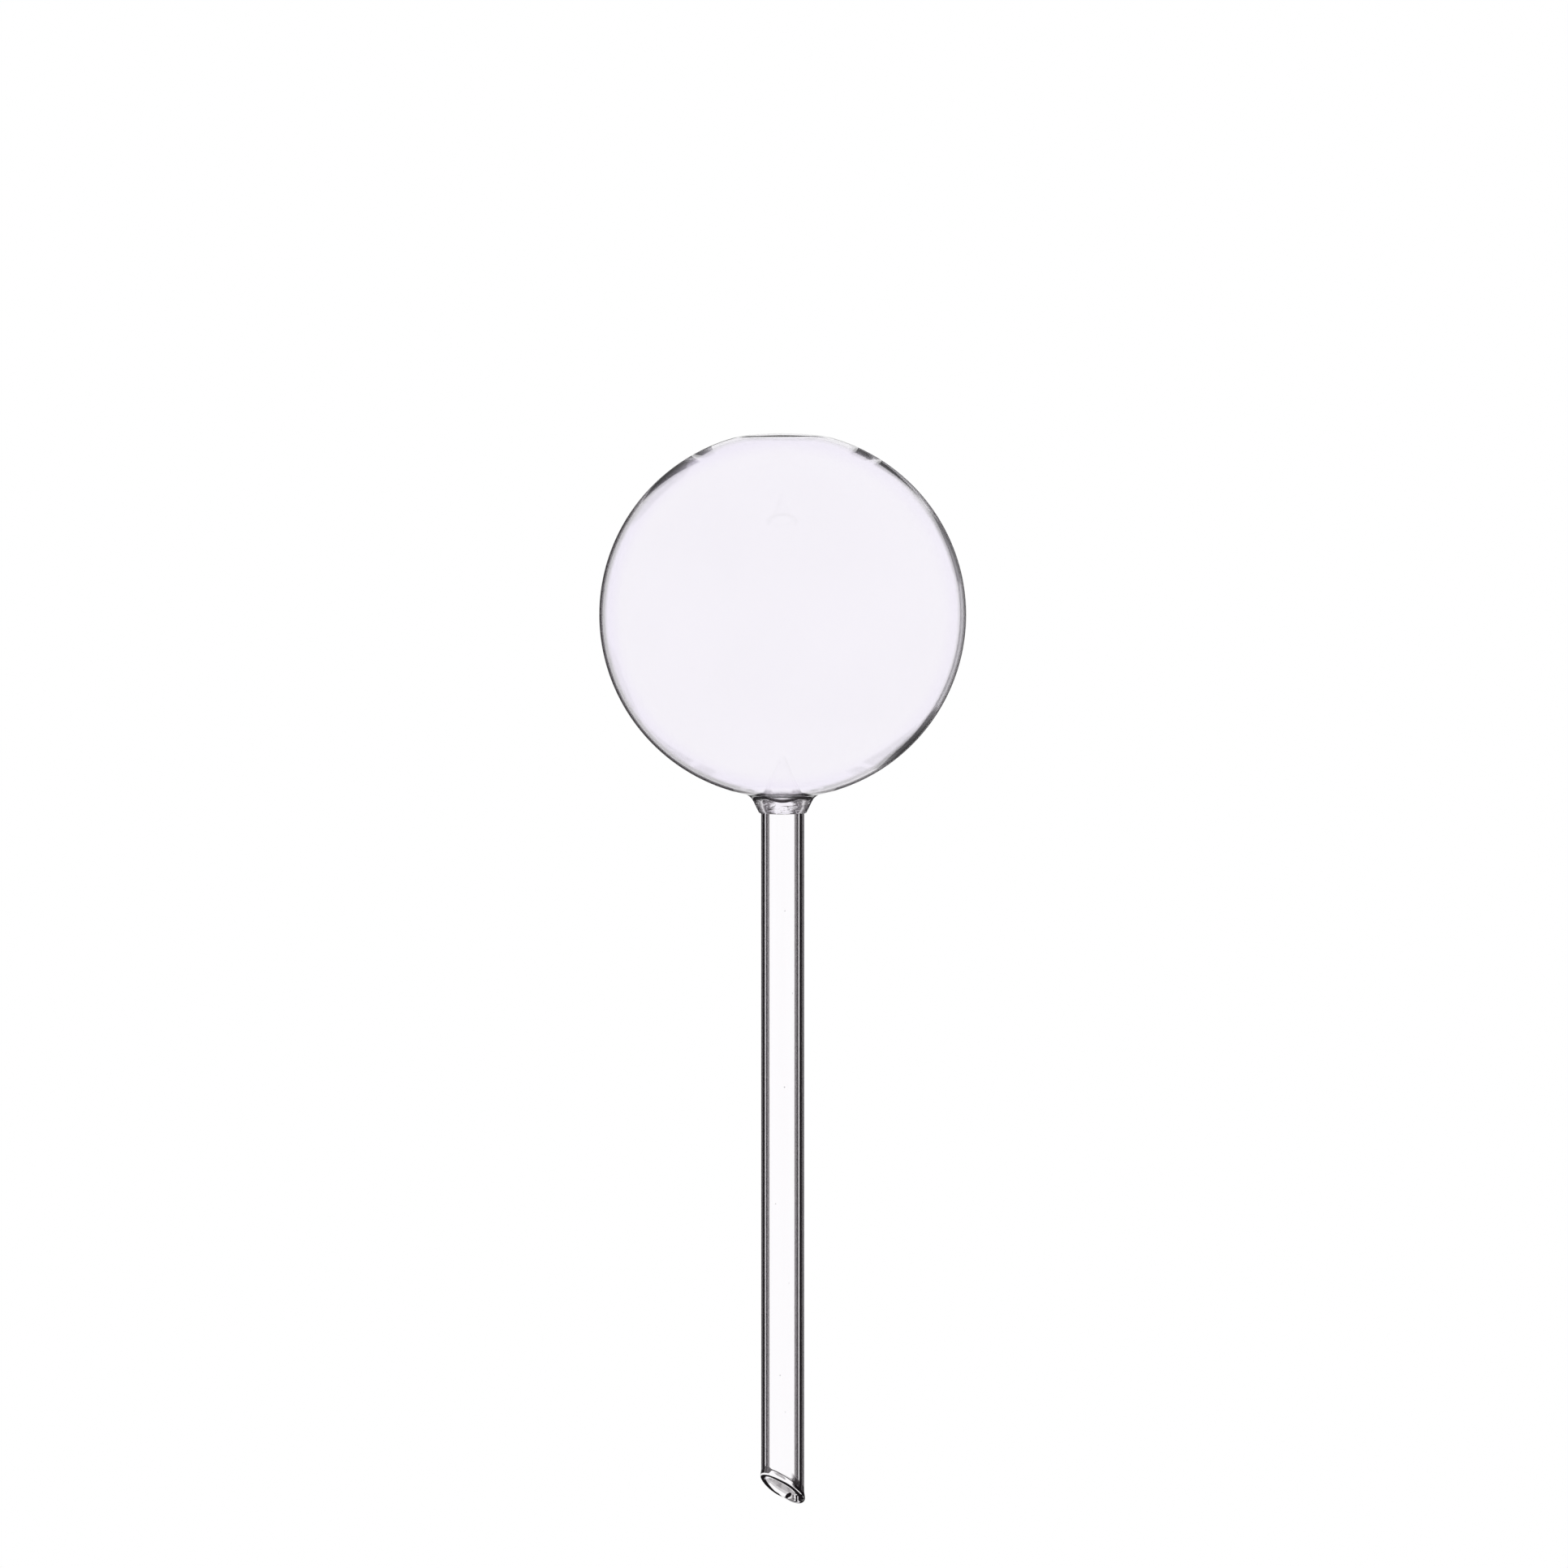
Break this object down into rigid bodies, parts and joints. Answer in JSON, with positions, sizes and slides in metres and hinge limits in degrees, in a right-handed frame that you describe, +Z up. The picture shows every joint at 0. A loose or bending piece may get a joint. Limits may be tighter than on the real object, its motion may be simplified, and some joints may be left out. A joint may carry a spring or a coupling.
{
  "type": "watering globe",
  "caption": "Clear glass watering globe: a hollow blown bulb sealed to an open tube stem with a slanted, flame-rounded tip that feeds water into soil.",
  "frame": {"origin": "on the axis, level with the lowest point of the stem's tip", "axes": "+Z runs up the axis from the tip to the bulb's crown; +X points right and +Y away in the picture's view, and the low side of the slanted tip faces 42 degrees round from +X towards +Y"},
  "size_m": [0.085, 0.085, 0.2496],
  "materials": {
    "blown_glass": "clear borosilicate glass, fire-bright, blown thin",
    "seal_glass": "clear borosilicate glass, worked in the flame, with ripples and small bubbles",
    "tube_glass": "clear borosilicate tube, drawn smooth, its tip flame-rounded"
  },
  "bodies": {
    "root": {"bulb": "blown_glass", "neck_seal": "seal_glass", "stem": "tube_glass"}
  },
  "joints": []
}
